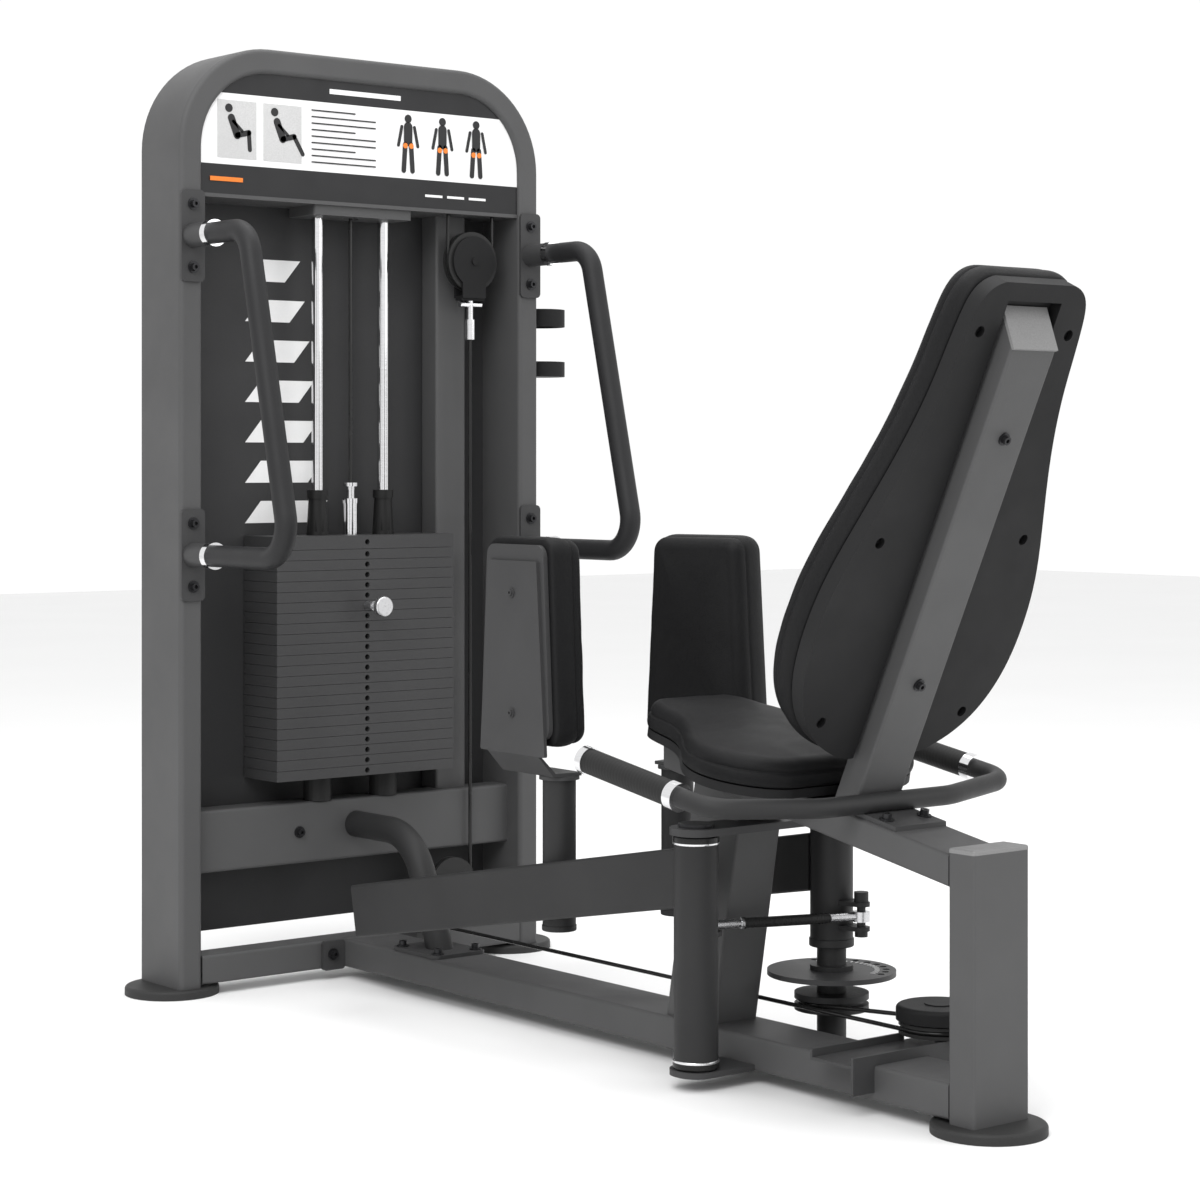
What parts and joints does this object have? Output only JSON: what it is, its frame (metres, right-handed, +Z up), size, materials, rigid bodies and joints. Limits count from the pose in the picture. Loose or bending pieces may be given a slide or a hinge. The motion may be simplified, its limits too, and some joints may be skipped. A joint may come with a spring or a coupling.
{
  "type": "hip abductor machine",
  "caption": "Pin-loaded hip abductor machine with a reclined back rest, swivelling thigh pads on two linked swing arms and a shrouded weight tower.",
  "frame": {"origin": "on the floor under the centre of the rear foot disc", "axes": "+Z up, +Y from the rear foot to the weight tower, +X to the sitter's right"},
  "size_m": [0.852, 1.605, 1.5],
  "materials": {
    "frame_coat": "fine textured dark grey powder coat",
    "arm_coat": "near-black powder coat",
    "plate_coat": "black powder coat",
    "panel_coat": "satin with a printed pattern",
    "placard_print": "printed sheet",
    "pale_cap": "moulded",
    "shell_plastic": "moulded, grained",
    "vinyl": "soft grained upholstery vinyl",
    "chrome": "polished",
    "fastener_steel": "zinc plated",
    "link_steel": "turned",
    "weight_coat": "black enamel",
    "bush_plastic": "moulded",
    "wheel_plastic": "moulded nylon",
    "cable_sheath": "nylon coated wire rope",
    "grip_rubber": "foam rubber sleeve",
    "handle_sleeve": "ribbed rubber sleeve",
    "foot_rubber": "moulded rubber"
  },
  "bodies": {
    "weight_stack": {"lifted_weights": "weight_coat", "selector_stem": "chrome", "guide_bushings": "bush_plastic", "stack_cable": "cable_sheath"},
    "pin": {"selector_pin": "fastener_steel"},
    "stack_top_wheel": {"top_wheel_stack": "wheel_plastic"},
    "fall_top_wheel": {"top_wheel_fall": "wheel_plastic"},
    "hanging_pulley": {"hanging_housing": "shell_plastic", "cable_eye": "chrome", "hanging_loop": "cable_sheath", "hanging_cables": "cable_sheath", "pulling_cable": "cable_sheath"},
    "hanging_pulley_wheel": {"hanging_wheel": "wheel_plastic"},
    "base_upright_wheel": {"base_wheel_upright": "wheel_plastic"},
    "base_flat_wheel": {"base_wheel_flat": "wheel_plastic"},
    "rear_flat_wheel": {"rear_wheel": "wheel_plastic"},
    "left_arm": {"left_arm_tube": "arm_coat", "left_pivot": "arm_coat", "left_pivot_bushes": "chrome"},
    "right_arm": {"right_arm_tube": "arm_coat", "right_pivot": "arm_coat", "number_disc": "plate_coat", "drive_shaft_drum": "arm_coat"},
    "left_pad": {"left_pad_bracket": "plate_coat", "left_thigh_pad": "vinyl"},
    "right_pad": {"right_pad_bracket": "plate_coat", "right_thigh_pad": "vinyl"},
    "link_bar": {"link": "link_steel"},
    "frame": {"back_pad": "vinyl", "back_post": "frame_coat", "back_shell": "shell_plastic", "base_beam": "frame_coat", "bottle_holder": "shell_plastic", "brace_tube": "arm_coat", "cable_runs": "cable_sheath", "chrome_collars": "chrome", "end_caps": "pale_cap", "floor_discs": "foot_rubber", "frame_fasteners": "fastener_steel", "front_column": "frame_coat", "guide_rods": "chrome", "handlebar": "arm_coat", "inner_frame": "frame_coat", "mounting_plates": "plate_coat", "pivot_pins": "fastener_steel", "pivot_plates": "plate_coat", "placard_board": "placard_print", "pulley_carriers": "plate_coat", "rear_panel": "panel_coat", "rear_post": "frame_coat", "rear_wheel_hood": "shell_plastic", "resting_plates": "weight_coat", "seat_beam": "frame_coat", "seat_grips": "grip_rubber", "seat_pad": "vinyl", "seat_shell": "shell_plastic", "stack_bumpers": "grip_rubber", "tower_arch": "frame_coat", "tower_handles": "handle_sleeve"}
  },
  "joints": [
    {"name": "right_arm_swing", "type": "hinge", "parent": "frame", "child": "right_arm", "pos_m": [0.125, 0.415, 0.2], "axis": [0, 0, -1], "range_deg": [0, 40]},
    {"name": "left_arm_swing", "type": "hinge", "parent": "frame", "child": "left_arm", "pos_m": [-0.125, 0.415, 0.2], "axis": [0, 0, 1], "range_deg": [0, 40]},
    {"name": "link_swing", "type": "hinge", "parent": "right_arm", "child": "link_bar", "pos_m": [0.13, 0.361, 0.211], "axis": [0, 0, 1], "range_deg": [0, 36]},
    {"name": "right_pad_swivel", "type": "hinge", "parent": "right_arm", "child": "right_pad", "pos_m": [0.11108, 0.73027, 0.38], "axis": [0, 0, 1], "range_deg": [-12, 12]},
    {"name": "left_pad_swivel", "type": "hinge", "parent": "left_arm", "child": "left_pad", "pos_m": [-0.11108, 0.73027, 0.38], "axis": [0, 0, 1], "range_deg": [-12, 12]},
    {"name": "stack_lift", "type": "slide", "parent": "frame", "child": "weight_stack", "axis": [0, 0, 1], "range_m": [0, 0.066], "deforming": ["stack_cable"]},
    {"name": "pin_pull", "type": "slide", "parent": "weight_stack", "child": "pin", "axis": [0, -1, 0], "range_m": [0, 0.07]},
    {"name": "hanging_pulley_travel", "type": "slide", "parent": "frame", "child": "hanging_pulley", "axis": [0, 0, -1], "range_m": [0, 0.033], "deforming": ["hanging_cables", "pulling_cable"]},
    {"name": "stack_top_wheel_spin", "type": "hinge", "parent": "frame", "child": "stack_top_wheel", "pos_m": [0.03662, 1.42871, 1.33], "axis": [0.143, 0.9897, 0], "range_deg": [0, 120]},
    {"name": "fall_top_wheel_spin", "type": "hinge", "parent": "frame", "child": "fall_top_wheel", "pos_m": [0.14338, 1.41329, 1.33], "axis": [0.143, 0.9897, 0], "range_deg": [0, 120]},
    {"name": "hanging_wheel_spin", "type": "hinge", "parent": "hanging_pulley", "child": "hanging_pulley_wheel", "pos_m": [0.226, 1.408, 1.18], "axis": [0, -1, 0], "range_deg": [0, 120]},
    {"name": "base_upright_wheel_spin", "type": "hinge", "parent": "frame", "child": "base_upright_wheel", "pos_m": [0.186, 1.408, 0.128], "axis": [0, 1, 0], "range_deg": [0, 120]},
    {"name": "base_flat_wheel_spin", "type": "hinge", "parent": "frame", "child": "base_flat_wheel", "pos_m": [0.1, 1.368, 0.088], "axis": [0, 0, 1], "range_deg": [0, 120]},
    {"name": "rear_wheel_spin", "type": "hinge", "parent": "frame", "child": "rear_flat_wheel", "pos_m": [0.11, 0.192, 0.088], "axis": [0, 0, 1], "range_deg": [0, 120]}
  ],
  "couplings": [
    {"joint": "left_arm_swing", "follows": "right_arm_swing", "ratio": 1},
    {"joint": "link_swing", "follows": "right_arm_swing", "ratio": 0.84},
    {"joint": "stack_lift", "follows": "right_arm_swing", "m_per_rad": 0.09},
    {"joint": "hanging_pulley_travel", "follows": "right_arm_swing", "m_per_rad": 0.045},
    {"joint": "stack_top_wheel_spin", "follows": "right_arm_swing", "ratio": 2.4324},
    {"joint": "fall_top_wheel_spin", "follows": "right_arm_swing", "ratio": 2.4324},
    {"joint": "hanging_wheel_spin", "follows": "right_arm_swing", "ratio": 0.9783},
    {"joint": "base_upright_wheel_spin", "follows": "right_arm_swing", "ratio": 1.125},
    {"joint": "base_flat_wheel_spin", "follows": "right_arm_swing", "ratio": 1.125},
    {"joint": "rear_wheel_spin", "follows": "right_arm_swing", "ratio": 0.9}
  ]
}
